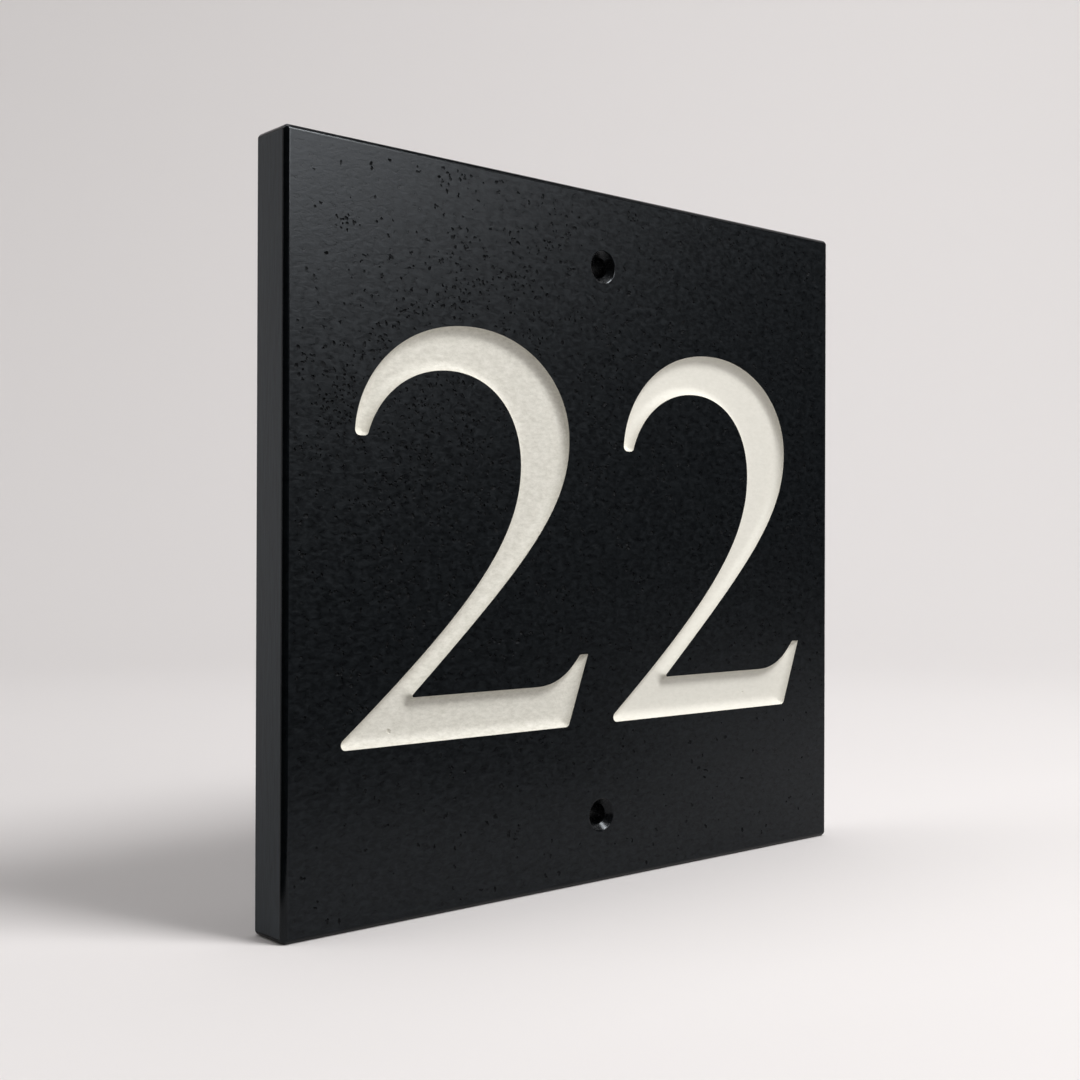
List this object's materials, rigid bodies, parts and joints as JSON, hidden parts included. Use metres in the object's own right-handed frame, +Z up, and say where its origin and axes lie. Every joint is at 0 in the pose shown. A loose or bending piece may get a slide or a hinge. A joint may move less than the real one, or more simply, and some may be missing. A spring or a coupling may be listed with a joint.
{
  "type": "house number plaque",
  "caption": "Near-black slate slab with eased edges, a cream-painted number carved into its front, and countersunk screw holes above and below the number for fixing it to a wall.",
  "frame": {"origin": "centre of the flat back face, where the plaque meets the wall", "axes": "+Z up, +Y into the wall, -Y out of the carved front, +X to the right as seen from the front"},
  "size_m": [0.147, 0.01, 0.14],
  "materials": {
    "slate": "honed, slightly pitted, near-black, with cream paint in the carving"
  },
  "bodies": {
    "root": {"plaque": "slate"}
  },
  "joints": []
}
